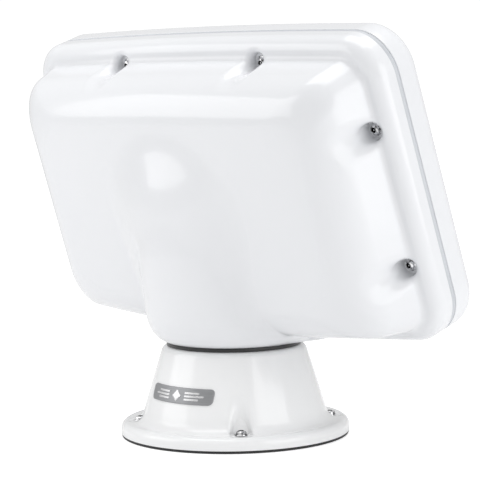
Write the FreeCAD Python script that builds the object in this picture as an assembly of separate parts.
import FreeCAD, Part
import math
import os

# Swivelling marine instrument pod on a conical deck pedestal, in millimetres.
# Row frame: the origin is the centre of the base's underside, +Z is up and is also the
# swivel axis, the instrument panel faces -Y and leans back by pod_lean.
# Panel frame: u is +X, v runs up the leaning panel, w is the depth behind the seam, which
# is the plane where the front cover meets the rear shell.

os.makedirs("parts", exist_ok=True)
V = FreeCAD.Vector
UP = V(0, 0, 1)

# ---- pedestal
flange_r = 105.0          # outer radius of the deck flange
flange_t = 11.0           # thickness of the flange
flange_round = 6.0        # rounding of its top edge
flange_land = 18.0        # from the flange's edge in to the foot of the cone
gasket_t = 2.5            # rubber gasket under the flange
gasket_width = 34.0
pedestal_h = 83.0         # deck to the top of the cone
cone_draft = 17.3         # lean of the cone's wall from vertical, degrees
cone_wall = 5.0
foot_round = 8.0          # hollow fillet between flange and cone
top_round = 5.0           # rounding of the cone's top edge
top_plate_t = 6.0
base_turn = 7.0           # how far the base is turned under the pod, degrees

# ---- deck screws, washers and the scallops that hold them
deck_screw_count = 4
deck_screw_edge = 17.25   # screw axis in from the flange's edge
deck_scallop_r = 10.0
scallop_wall = 4.0        # wall between a scallop and the hollow of the cone
deck_screw_len = 30.0
deck_screw_r = 2.5
deck_hole_r = 2.75
deck_plain_r = 2.1        # plain shank from the head down to the deck; thread below it
screw_head_r = 4.8
screw_head_h = 3.0
washer_r = 6.0
washer_t = 1.0
socket_across = 5.0       # flats of the hexagon socket
socket_depth = 1.9
socket_pin_r = 0.7        # pin in the middle of the socket
socket_pin_low = 0.3      # its end lies this far below the top of the head
head_dome = 0.78          # rounding of the head's edge, as a share of its height
tip_taper = 1 / 3         # chamfer at the shank's end, as a share of its radius
washer_edge = 0.3

# ---- badge plate on the cone
badge_z = 45.0
badge_h = 14.0
badge_arc = 56.0          # angle it wraps, degrees
badge_t = 1.0
badge_corner = 4.0
mark_t = 0.4
mark_half = 5.0           # half diagonal of the diamond
mark_gap = 4.0            # from the diamond's corner to the bars
mark_bar = 19.0           # length of the middle bar
mark_bar_step = 4.5       # the outer bars are shorter by this
mark_bar_h = 1.7
mark_bar_pitch = 2.8

# ---- swivel bearing
ring_step = 3.35          # bearing ring in from the cone's top edge
ring_t = 3.5
ring_edge = 0.6
spindle_r = 20.0
spindle_wall = 4.0
run_clear = 0.05          # running fit, on the radius
push_clear = 0.2          # loose fit, on the radius
bushing_wall = 4.0
bushing_flange_t = 3.0
bushing_flange_w = 9.0
bearing_boss_h = 7.0      # boss under the top plate around the bushing
bearing_boss_w = 10.0

# ---- clamp stack under the bushing, from the top down
friction_t = 2.0
friction_w = 12.0
disc_t = 0.9
disc_rise = 1.1
disc_w = 9.0
disc_gap = 0.3            # more room round the spindle than the flat washers have
collar_t = 8.0
collar_w = 10.0
lug_half = 5.0            # half the width of the stop lug
lug_reach = 23.0          # lug tip, out from the spindle
lock_t = 1.5
nut_t = 7.5
nut_w = 8.0
nut_slots = 4
nut_slot_w = 6.0
nut_slot_depth = 3.5
nut_edge = 0.8
lock_tab_reach = 3.0      # tabs of the lock washer, out from its ring
lock_play = 1.0           # how much narrower than the nut the lock washer and its tabs are
spindle_tail = 3.5        # thread left below the nut
stop_pin_r = 3.0
stop_pin_out = 20.0       # pin axis, out from the spindle
stop_pin_seat = 3.0       # depth of the pin's hole in the top plate
stop_pin_edge = 0.6
stop_pin_azimuth = -90.0  # on the base, before base_turn
stop_lug_azimuth = 90.0   # on the pod
set_screw_r = 2.0
set_screw_len = 8.0
set_socket_across = 2.2
set_socket_depth = 2.5

# ---- hub inside the neck
hub_r = 42.0
hub_t = 6.0
hub_edge = 1.2
hub_gasket_t = 1.0
hub_screw_count = 6
hub_screw_circle = 33.0
hub_screw_len = 13.0
neck_floor_t = 8.0
grommet_lip_t = 3.0
grommet_lip_w = 4.0
grommet_lip_taper = 1.5
grommet_depth = 9.0
cable_hole_r = 9.0

# ---- pod outline and shells
pod_w = 466.0             # width at the seam
pod_h = 283.0             # height at the seam, along the leaning panel, without the bows
pod_corner = 38.0
top_bow = 2.7             # rise of the top edge at its middle
bottom_bow = 9.6          # sag of the bottom edge at its middle
bottom_rise = 6.7         # the two lower corners stand this much higher
pod_lean = 19.0           # lean of the panel, top towards the rear, degrees
seam_y = -10.0            # seam centre, along Y
rim_lift = 7.0            # lowest point of the seam above the neck's underside
wall = 3.6
cover_depth = 30.0        # front cover, ahead of the seam
cover_round = 11.0
field_depth = 1.2         # shallow flat field on the front, where an instrument is cut in
field_margin = 26.0
field_corner = 20.0
seal_t = 5.0              # strip between the rear shell and the front cover
seal_recess = 1.0         # seal's edge in from the outline
seal_w = 2.6
rim_depth = 20.6          # rear shell's rim, behind the seam
rim_round = 12.5
body_step = 15.5          # body's wall in from the rim's outline
body_depth = 80.0
body_lean = 17.0          # the body's back stands a little more upright than the panel
body_drop = 2.0           # the body sits this much lower than the rim, along the panel
body_draft = 12.0
body_round = 40.0
body_corner = 24.0
body_corner_gain = 16.0   # growth of the corner radius over the rear rounding

# ---- neck of the rear shell
neck_r = 87.0
neck_foot_gain = 17.5     # the foot's rounding: growth in radius over the bearing ring
neck_foot_h = 21.0        # and its height
neck_foot_bulge = 4.0     # how far the rounding stands out of its own chord
neck_full = 80.0          # height at which the neck has its full radius
neck_shoulder = 128.0     # height where the dome begins
neck_dome_mid = 165.0
neck_dome_mid_in = 7.0
neck_dome_top = 188.0
neck_dome_top_in = 37.0

# ---- cover screws, their pockets and bosses
screw_u = 93.0            # top and bottom screws, out from the middle
screw_v = 61.0            # side screws, up and down from the middle
screw_inset_edge = 20.6   # screw axis in from the outline, top and bottom
screw_inset_side = 24.0   # the same on the two sides
pocket_r = 8.5
pocket_floor = 13.0       # depth of the screw seat behind the seam
cover_screw_len = 30.0
cover_screw_r = 2.5
cover_hole_r = 2.8
boss_r = 8.0
insert_r = 3.8
insert_len = 12.0
insert_groove = 0.4
insert_groove_w = 1.6
insert_groove_at = (0.35, 0.65)   # where the grooves are, as shares of the length

# ---- sizes that follow from the others
neck_z = pedestal_h + ring_t
flange_z = gasket_t + flange_t
half_w = pod_w / 2
half_h = pod_h / 2
lean = math.radians(pod_lean)
bottom_v = half_h - bottom_rise + bottom_bow
seam_z = neck_z + rim_lift + bottom_v * math.cos(lean)
cone_slope = math.tan(math.radians(cone_draft))
deck_circle_r = flange_r - deck_screw_edge
bushing_r = spindle_r + bushing_wall
bushing_low = pedestal_h - top_plate_t - bearing_boss_h
friction_z = bushing_low - bushing_flange_t
disc_z = friction_z - friction_t
collar_z = disc_z - 2 * (disc_t + disc_rise)
lock_z = collar_z - collar_t
nut_z = lock_z - lock_t
spindle_low = nut_z - nut_t - spindle_tail
floor_z = neck_z + neck_floor_t
hub_z = floor_z + hub_gasket_t
hub_top = hub_z + hub_t
stack_bore = spindle_r + push_clear


def cone_r(z):
    """Radius of the pedestal's cone at height z."""
    return flange_r - flange_land - (z - flange_z) * cone_slope


ring_r = cone_r(pedestal_h) - ring_step


def save(shape, node):
    if not shape.isValid():
        print("not valid:", node)
    print(f"{node:18s} solids {len(shape.Solids)}  volume {shape.Volume / 1000:.2f} cm3")
    shape.exportStep(f"parts/{node}.step")


def disc(radius, z0, z1, x=0.0, y=0.0):
    """Upright cylinder from z0 to z1."""
    return Part.makeCylinder(radius, z1 - z0, V(x, y, z0), UP)


def washer(outer, inner, z0, z1):
    return disc(outer, z0, z1).cut(disc(inner, z0 - 1, z1 + 1))


def revolve(points, sweep=360.0, start=0.0):
    """Turned solid from (radius, z) points, round the Z axis."""
    wire = Part.makePolygon([V(r, 0, z) for r, z in points + points[:1]])
    solid = Part.Face(wire).revolve(V(0, 0, 0), UP, sweep)
    solid.rotate(V(0, 0, 0), UP, start)
    return solid


def round_edges(shape, radius, test):
    """Fillet every edge whose ends and middle all satisfy test."""
    chosen = []
    for edge in shape.Edges:
        middle = edge.valueAt((edge.FirstParameter + edge.LastParameter) / 2)
        if all(test(p) for p in [v.Point for v in edge.Vertexes] + [middle]):
            chosen.append(edge)
    return shape.makeFillet(radius, chosen)


def near(value, target, slack=0.01):
    return abs(value - target) < slack


def around(shape, count, start):
    """Copies of a shape at equal angles round the Z axis, the first at angle start."""
    copies = []
    for i in range(count):
        copy = shape.copy()
        copy.rotate(V(0, 0, 0), UP, start + 360.0 * i / count)
        copies.append(copy)
    return copies


def turned_base(shape):
    """The base's features are turned under the pod by base_turn."""
    shape.rotate(V(0, 0, 0), UP, base_turn)
    return shape


# ---- fasteners -------------------------------------------------------------------------

def hexagon(across, z0, z1):
    r = across / math.sqrt(3)
    angles = [math.radians(60 * i) for i in range(7)]
    points = [V(r * math.cos(a), r * math.sin(a), z0) for a in angles]
    return Part.Face(Part.makePolygon(points)).extrude(V(0, 0, z1 - z0))


def button_screw(length, shank_r):
    """Screw standing with its head's underside at z = 0, with a pinned hexagon socket."""
    head = disc(screw_head_r, 0, screw_head_h)
    head = round_edges(head, head_dome * screw_head_h, lambda p: near(p.z, screw_head_h))
    socket_z = screw_head_h - socket_depth
    socket = hexagon(socket_across, socket_z, screw_head_h + 1)
    socket = socket.cut(disc(socket_pin_r, socket_z - 1, screw_head_h - socket_pin_low))
    shank = disc(shank_r, -length, 0)
    shank = shank.makeChamfer(tip_taper * shank_r,
                              [e for e in shank.Edges if near(e.BoundBox.ZMax, -length)])
    return head.cut(socket).fuse(shank).removeSplitter()


def screw_washer(bore_r):
    return round_edges(washer(washer_r, bore_r, 0, washer_t), washer_edge,
                       lambda p: near(p.z, washer_t) and math.hypot(p.x, p.y) > bore_r + 1)


# ---- pedestal --------------------------------------------------------------------------

def pedestal_solid():
    """Outer form of the base: flange, hollow fillet and cone."""
    solid = revolve([(0, gasket_t), (flange_r, gasket_t), (flange_r, flange_z),
                     (cone_r(flange_z), flange_z), (cone_r(pedestal_h), pedestal_h),
                     (0, pedestal_h)])

    def rim_edge(z, radius):
        return lambda p: near(p.z, z) and near(math.hypot(p.x, p.y), radius)

    solid = round_edges(solid, flange_round, rim_edge(flange_z, flange_r))
    solid = round_edges(solid, foot_round, rim_edge(flange_z, cone_r(flange_z)))
    return round_edges(solid, top_round, rim_edge(pedestal_h, cone_r(pedestal_h)))


def pedestal_base():
    under_plate = pedestal_h - top_plate_t
    hollow = revolve([(0, 0), (cone_r(gasket_t) - cone_wall, 0),
                      (cone_r(gasket_t) - cone_wall, gasket_t),
                      (cone_r(under_plate) - cone_wall, under_plate), (0, under_plate)])
    pocket = disc(deck_scallop_r, flange_z, pedestal_h, deck_circle_r)
    liner = disc(deck_scallop_r + scallop_wall, 0, pedestal_h, deck_circle_r)
    hole = disc(deck_hole_r, 0, pedestal_h, deck_circle_r)
    turn = 180.0 / deck_screw_count
    body = pedestal_solid().cut(around(pocket, deck_screw_count, turn))
    body = body.cut(hollow.cut(around(liner, deck_screw_count, turn)))
    boss = disc(bushing_r + bearing_boss_w, bushing_low, under_plate)
    body = body.fuse(boss)
    body = body.cut(disc(bushing_r, 0, pedestal_h + 1))
    body = body.cut(around(hole, deck_screw_count, turn))
    pin_hole = disc(stop_pin_r, 0, under_plate + stop_pin_seat, spindle_r + stop_pin_out)
    pin_hole.rotate(V(0, 0, 0), UP, stop_pin_azimuth)
    return turned_base(body.cut(pin_hole))


def base_gasket():
    """Flat rubber ring under the flange, holed for the deck screws."""
    ring = washer(flange_r, flange_r - gasket_width, 0, gasket_t)
    hole = disc(deck_hole_r, -1, gasket_t + 1, deck_circle_r)
    return turned_base(ring.cut(around(hole, deck_screw_count, 180.0 / deck_screw_count)))


def deck_fasteners():
    """Screws and washers in the four scallops; the shanks stand out below the gasket."""
    seat = screw_washer(deck_hole_r)
    seat.translate(V(deck_circle_r, 0, flange_z))
    head_z = flange_z + washer_t
    screw = button_screw(deck_screw_len, deck_screw_r)
    screw = screw.cut(washer(deck_screw_r + 1, deck_plain_r, -head_z, 0))
    screw.translate(V(deck_circle_r, 0, head_z))
    turn = 180.0 / deck_screw_count
    screws = Part.Compound(around(screw, deck_screw_count, turn))
    washers = Part.Compound(around(seat, deck_screw_count, turn))
    return turned_base(screws), turned_base(washers)


def cone_skin(inner, outer):
    """Conical shell lying from inner to outer mm off the pedestal's cone."""
    z0, z1 = badge_z - badge_h, badge_z + badge_h
    return revolve([(cone_r(z0) + inner, z0), (cone_r(z0) + outer, z0),
                    (cone_r(z1) + outer, z1), (cone_r(z1) + inner, z1)])


def rounded_rectangle(a, b, corner, plane_y):
    """Face in the XZ plane at plane_y, a by b, centred on the badge."""
    box = Part.makeBox(a, 1, b, V(-a / 2, plane_y, badge_z - b / 2))
    uprights = [e for e in box.Edges if near(e.BoundBox.XLength + e.BoundBox.ZLength, 0)]
    return box.makeFillet(corner, uprights)


def radial_prism(solid):
    """Stretch a thin solid near the axis out through the cone, towards +Y."""
    face = max(solid.Faces, key=lambda f: f.Area)
    return face.extrude(V(0, flange_r, 0))


def badge_plate():
    chord = 2 * cone_r(badge_z) * math.sin(math.radians(badge_arc / 2))
    prism = radial_prism(rounded_rectangle(chord, badge_h, badge_corner, 1.0))
    return turned_base(cone_skin(0, badge_t).common(prism))


def badge_mark():
    """Raised diamond with three short bars on each side."""
    pieces = []
    diamond = Part.makePolygon([V(mark_half, 1, badge_z), V(0, 1, badge_z + mark_half),
                                V(-mark_half, 1, badge_z), V(0, 1, badge_z - mark_half),
                                V(mark_half, 1, badge_z)])
    pieces.append(Part.Face(diamond).extrude(V(0, flange_r, 0)))
    for side in (-1, 1):
        for row in (-1, 0, 1):
            length = mark_bar - mark_bar_step * abs(row)
            x0 = side * (mark_half + mark_gap)
            x0 = x0 if side > 0 else x0 - length
            z0 = badge_z + row * mark_bar_pitch - mark_bar_h / 2
            pieces.append(Part.makeBox(length, flange_r, mark_bar_h, V(x0, 1, z0)))
    skin = cone_skin(badge_t, badge_t + mark_t)
    return turned_base(Part.Compound([skin.common(p) for p in pieces]))


# ---- swivel bearing and clamp stack ----------------------------------------------------

def bearing_ring():
    ring = washer(ring_r, bushing_r, pedestal_h, neck_z)
    return round_edges(ring, ring_edge, lambda p: near(math.hypot(p.x, p.y), ring_r))


def spindle_bushing():
    sleeve = disc(bushing_r, bushing_low, pedestal_h)
    flange = disc(bushing_r + bushing_flange_w, friction_z, bushing_low)
    bore = disc(spindle_r + run_clear, friction_z - 1, pedestal_h + 1)
    return sleeve.fuse(flange).cut(bore).removeSplitter()


def stop_pin():
    top = pedestal_h - top_plate_t + stop_pin_seat
    pin = disc(stop_pin_r, lock_z, top, spindle_r + stop_pin_out)
    pin = pin.makeChamfer(stop_pin_edge,
                          [e for e in pin.Edges if near(e.BoundBox.ZMax, lock_z)])
    pin.rotate(V(0, 0, 0), UP, stop_pin_azimuth)
    return turned_base(pin)


def spindle():
    """Hollow spindle: a flange bolted in the neck and a tube down through the bearing."""
    flange = disc(hub_r, hub_z, hub_top)
    flange = round_edges(flange, hub_edge, lambda p: near(p.z, hub_top))
    body = flange.fuse(disc(spindle_r, spindle_low, hub_z))
    body = body.cut(disc(spindle_r - spindle_wall, spindle_low - 1, hub_top + 1))
    hole = disc(cover_hole_r, hub_z - 1, hub_top + 1, hub_screw_circle)
    return body.cut(around(hole, hub_screw_count, 30)).removeSplitter()


def hub_gasket():
    ring = washer(hub_r, stack_bore, floor_z, hub_z)
    hole = disc(cover_hole_r, floor_z - 1, hub_z + 1, hub_screw_circle)
    return ring.cut(around(hole, hub_screw_count, 30))


def hub_screws():
    screw = button_screw(hub_screw_len, cover_screw_r)
    screw.translate(V(hub_screw_circle, 0, hub_top))
    return Part.Compound(around(screw, hub_screw_count, 30))


def cable_grommet():
    bore_r = spindle_r - spindle_wall
    points = [(cable_hole_r, hub_top - grommet_depth), (bore_r, hub_top - grommet_depth),
              (bore_r, hub_top), (bore_r + grommet_lip_w, hub_top),
              (bore_r + grommet_lip_w - grommet_lip_taper, hub_top + grommet_lip_t),
              (cable_hole_r, hub_top + grommet_lip_t)]
    return revolve(points)


def friction_washer():
    return washer(spindle_r + friction_w, stack_bore, disc_z, friction_z)


def disc_springs():
    """Two coned disc springs, back to back."""
    inner, outer = stack_bore + disc_gap, spindle_r + disc_w
    middle = disc_z - disc_t - disc_rise
    upper = [(inner, middle + disc_rise), (inner, disc_z), (outer, middle + disc_t),
             (outer, middle)]
    lower = [(r, 2 * middle - z) for r, z in upper]
    return Part.Compound([revolve(upper), revolve(lower)])


def stop_collar():
    """Clamp collar on the spindle, with the lug that meets the stop pin."""
    ring = disc(spindle_r + collar_w, lock_z, collar_z)
    lug = Part.makeBox(spindle_r + lug_reach, 2 * lug_half, collar_t,
                       V(0, -lug_half, lock_z))
    collar = ring.fuse(lug).cut(disc(spindle_r, lock_z - 1, collar_z + 1))
    hole = Part.makeCylinder(set_screw_r, spindle_r + collar_w + 1,
                             V(0, 0, (lock_z + collar_z) / 2), V(-1, 0, 0))
    collar = collar.cut(hole).removeSplitter()
    collar.rotate(V(0, 0, 0), UP, stop_lug_azimuth)
    return collar


def collar_screw():
    start = V(-spindle_r, 0, (lock_z + collar_z) / 2)
    screw = Part.makeCylinder(set_screw_r, set_screw_len, start, V(-1, 0, 0))
    socket = hexagon(set_socket_across, 0, set_socket_depth + 1)
    socket.rotate(V(0, 0, 0), V(0, 1, 0), -90)
    socket.translate(start - V(set_screw_len - set_socket_depth, 0, 0))
    screw = screw.cut(socket)
    screw.rotate(V(0, 0, 0), UP, stop_lug_azimuth)
    return screw


def lock_washer():
    """Thin washer with four flat tabs, which bend down into the nut's slots."""
    outer, tab_w = spindle_r + nut_w - lock_play, nut_slot_w - lock_play
    ring = washer(outer, stack_bore, nut_z, lock_z)
    tab = Part.makeBox(tab_w, outer + lock_tab_reach - spindle_r - 1, lock_t,
                       V(-tab_w / 2, spindle_r + 1, nut_z))
    return ring.fuse(around(tab, nut_slots, 45)).removeSplitter()


def spindle_nut():
    ring = washer(spindle_r + nut_w, spindle_r, nut_z - nut_t, nut_z)
    ring = ring.makeChamfer(nut_edge, [e for e in ring.Edges
                                       if near(e.BoundBox.XMax, spindle_r + nut_w)])
    slot = Part.makeBox(nut_slot_w, nut_w, nut_t + 2,
                        V(-nut_slot_w / 2, spindle_r + nut_w - nut_slot_depth, nut_z - nut_t - 1))
    return ring.cut(around(slot, nut_slots, 0))


# ---- pod -------------------------------------------------------------------------------

def on_panel(shape, lean_deg=pod_lean):
    """A shape carried from panel coordinates (u, v, -w) into the row frame."""
    place = FreeCAD.Placement(V(0, seam_y, seam_z),
                              FreeCAD.Rotation(V(1, 0, 0), 90 - lean_deg))
    return shape.transformed(place.toMatrix(), copy=True)


def outline(inset, w, corner):
    """Closed wire at depth w: straight sides, bowed top and bottom, round corners."""
    a, b, r = half_w - inset, half_h - inset, corner
    c = b - bottom_rise
    k = r * (1 - math.sqrt(0.5))

    def arc(p, q, s):
        return Part.Arc(V(*p, -w), V(*q, -w), V(*s, -w)).toShape()

    def line(p, q):
        return Part.makeLine(V(*p, -w), V(*q, -w))

    return Part.Wire([arc((r - a, -c), (0, -c - bottom_bow), (a - r, -c)),
                      arc((a - r, -c), (a - k, k - c), (a, r - c)),
                      line((a, r - c), (a, b - r)),
                      arc((a, b - r), (a - k, b - k), (a - r, b)),
                      arc((a - r, b), (0, b + top_bow), (r - a, b)),
                      arc((r - a, b), (k - a, b - k), (-a, b - r)),
                      line((-a, b - r), (-a, r - c)),
                      arc((-a, r - c), (k - a, k - c), (r - a, -c))])


def slab(inset, w0, w1, corner=None):
    """Prism of the pod's outline, inset, from depth w0 to w1."""
    wire = outline(inset, w0, corner or pod_corner - inset)
    return Part.Face(wire).extrude(V(0, 0, w0 - w1))


def rim(inset, w0):
    """Rear shell's rim, with its rear edge rounded."""
    depth = rim_depth - inset
    solid = slab(inset, w0, depth)
    return round_edges(solid, rim_round - inset, lambda p: near(p.z, -depth))


def body(inset):
    """Tapered body behind the rim: drafted walls that round over into a flat back."""
    draft = math.radians(body_draft)
    radius = body_round - inset
    centre_w = body_depth - body_round
    start = rim_depth * math.tan(draft)
    centre_d = body_step - start + centre_w * math.tan(draft) + body_round / math.cos(draft)
    sections = []
    for w in (0.0, centre_w / 2):
        d = body_step - start + w * math.tan(draft) + inset / math.cos(draft)
        sections.append((d, w, body_corner - inset))
    steps = 6
    for i in range(steps + 1):
        phi = draft + (math.pi / 2 - draft) * i / steps
        gain = body_corner_gain * (1 - math.cos(phi - draft))
        sections.append((centre_d - radius * math.cos(phi), centre_w + radius * math.sin(phi),
                         body_corner - inset + gain))
    wires = [outline(d, w, corner) for d, w, corner in sections]
    loft = Part.makeLoft(wires, True, False)
    loft.translate(V(0, -body_drop, 0))
    return on_panel(loft, body_lean)


def neck(inset, foot):
    """Column round the swivel axis, its flanks run straight forward into the rim."""
    ring = ring_r - inset

    def profile(side):
        def at(radius, height):
            return V(side * radius, 0, neck_z + height)
        foot_at = at(ring, 0)
        bulge = neck_foot_bulge / math.sqrt(2)
        swell = at(ring + neck_foot_gain / 2 + bulge, neck_foot_h / 2 - bulge)
        waist = at(ring + neck_foot_gain, neck_foot_h)
        calf = at(ring + 0.58 * neck_foot_gain + 0.42 * (neck_r - ring_r),
                  (neck_foot_h + neck_full) / 2)
        full = at(neck_r - inset, neck_full)
        shoulder = at(neck_r - inset, neck_shoulder)
        dome = at(neck_r - neck_dome_mid_in - inset, neck_dome_mid - 0.3 * inset)
        top = at(neck_r - neck_dome_top_in - inset, neck_dome_top - inset)
        return [Part.Arc(foot_at, swell, waist).toShape(), Part.Arc(waist, calf, full).toShape(),
                Part.makeLine(full, shoulder),
                Part.Arc(shoulder, dome, top).toShape()]

    right = profile(1)
    foot_point, top_point = right[0].valueAt(right[0].FirstParameter), V(
        neck_r - neck_dome_top_in - inset, 0, neck_z + neck_dome_top - inset)
    axis_low, axis_high = V(0, 0, foot_point.z), V(0, 0, top_point.z)
    half = Part.Face(Part.Wire([Part.makeLine(axis_low, foot_point)] + right +
                               [Part.makeLine(top_point, axis_high),
                                Part.makeLine(axis_high, axis_low)]))
    back = half.revolve(V(0, 0, 0), UP, 180)
    reach = bottom_v * math.sin(lean) + cover_depth
    front = half.extrude(V(0, -reach, 0))
    mirrored = front.mirror(V(0, 0, 0), V(1, 0, 0))
    solid = back.fuse([front, mirrored]).removeSplitter()
    keep = on_panel(Part.makeBox(pod_w, pod_h + bottom_bow, pod_w,
                                 V(-half_w, inset - bottom_v, -pod_w - foot)))
    return solid.common(keep)


def screw_places():
    """(u, v) of the eight cover screws."""
    top, low = half_h - screw_inset_edge, screw_inset_edge - bottom_v
    side = half_w - screw_inset_side
    return [(su * screw_u, v) for v in (top, low) for su in (1, -1)] + \
           [(su * side, sv * screw_v) for su in (1, -1) for sv in (1, -1)]


def at_screws(radius, w0, w1):
    """Cylinders on the eight screw axes from depth w0 to w1."""
    return [on_panel(Part.makeCylinder(radius, w1 - w0, V(u, v, -w0), V(0, 0, -1)))
            for u, v in screw_places()]


def rear_shell():
    """Moulded rear half: rim, body and neck in one skin, open at the seam."""
    outer = on_panel(rim(0, 0)).fuse([body(0).common(on_panel(slab(wall, 0, pod_w))),
                                      neck(0, 0)])
    inner = on_panel(rim(wall, -seal_t)).fuse([body(wall), neck(wall, -seal_t)])
    far = body_depth + body_round
    inner = inner.cut(at_screws(pocket_r + wall, pocket_floor - wall, far))
    inner = inner.cut(at_screws(boss_r, 0, pocket_floor))
    inner = inner.cut(disc(ring_r, neck_z - 1, floor_z))
    shell = outer.cut(at_screws(pocket_r, pocket_floor, far)).cut(inner)
    shell = shell.cut(at_screws(cover_hole_r, -1, far))
    shell = shell.cut(disc(stack_bore, neck_z - 1, floor_z + 1))
    thread = disc(cover_screw_r, hub_top - hub_screw_len, floor_z + 1, hub_screw_circle)
    return shell.cut(around(thread, hub_screw_count, 30))


def front_cover():
    """Moulded front half: rounded tray with screw bosses and an uncut panel face."""
    tray = slab(0, -cover_depth, -seal_t)
    tray = round_edges(tray, cover_round, lambda p: near(p.z, cover_depth))
    field = slab(field_margin, -cover_depth - 1, -cover_depth + field_depth, field_corner)
    hollow = slab(wall, -cover_depth + wall + field_depth, 1)
    tray = on_panel(tray.cut(field).cut(hollow))
    tray = tray.fuse(at_screws(boss_r, -cover_depth + wall, -seal_t))
    return tray.cut(at_screws(insert_r, -seal_t - insert_len, 1))


def seam_seal():
    """Silicone strip in the seam."""
    ring = slab(seal_recess, -seal_t, 0).cut(slab(seal_recess + seal_w, -seal_t - 1, 1))
    return on_panel(ring)


def screw_sleeves():
    """Silicone sleeve round each cover screw, between the two rows of bosses."""
    return Part.Compound([sleeve.cut(hole) for sleeve, hole in
                          zip(at_screws(boss_r, -seal_t, 0),
                              at_screws(cover_hole_r, -seal_t - 1, 1))])


def behind_seam(shape, u, v, w):
    """Place a fastener so that its +Z points out of the back of the pod."""
    copy = shape.copy()
    copy.rotate(V(0, 0, 0), V(1, 0, 0), 180)
    copy.translate(V(u, v, -w))
    return on_panel(copy)


def cover_fasteners():
    """Screws, washers and threaded inserts of the eight cover screws."""
    screw = button_screw(cover_screw_len, cover_screw_r)
    seat = screw_washer(cover_hole_r)
    insert = washer(insert_r, cover_screw_r, -insert_len, 0)
    for share in insert_groove_at:
        low = -share * insert_len - insert_groove_w / 2
        insert = insert.cut(washer(insert_r + 1, insert_r - insert_groove,
                                   low, low + insert_groove_w))
    screws, washers, inserts = [], [], []
    for u, v in screw_places():
        washers.append(behind_seam(seat, u, v, pocket_floor))
        screws.append(behind_seam(screw, u, v, pocket_floor + washer_t))
        inserts.append(behind_seam(insert, u, v, -seal_t))
    return Part.Compound(screws), Part.Compound(washers), Part.Compound(inserts)


# ---- write the nodes -------------------------------------------------------------------

deck_screws, deck_washers = deck_fasteners()
cover_screws, cover_washers, cover_inserts = cover_fasteners()
nodes = {
    "pedestal_base": pedestal_base(),
    "base_gasket": base_gasket(),
    "base_screws": deck_screws,
    "base_washers": deck_washers,
    "badge_plate": badge_plate(),
    "badge_mark": badge_mark(),
    "bearing_ring": bearing_ring(),
    "spindle_bushing": spindle_bushing(),
    "stop_pin": stop_pin(),
    "spindle": spindle(),
    "hub_gasket": hub_gasket(),
    "hub_screws": hub_screws(),
    "cable_grommet": cable_grommet(),
    "friction_washer": friction_washer(),
    "disc_springs": disc_springs(),
    "stop_collar": stop_collar(),
    "collar_screw": collar_screw(),
    "lock_washer": lock_washer(),
    "spindle_nut": spindle_nut(),
    "front_cover": front_cover(),
    "rear_shell": rear_shell(),
    "seam_seal": seam_seal(),
    "screw_sleeves": screw_sleeves(),
    "cover_screws": cover_screws,
    "cover_washers": cover_washers,
    "cover_inserts": cover_inserts,
}
for name, shape in nodes.items():
    save(shape, name)
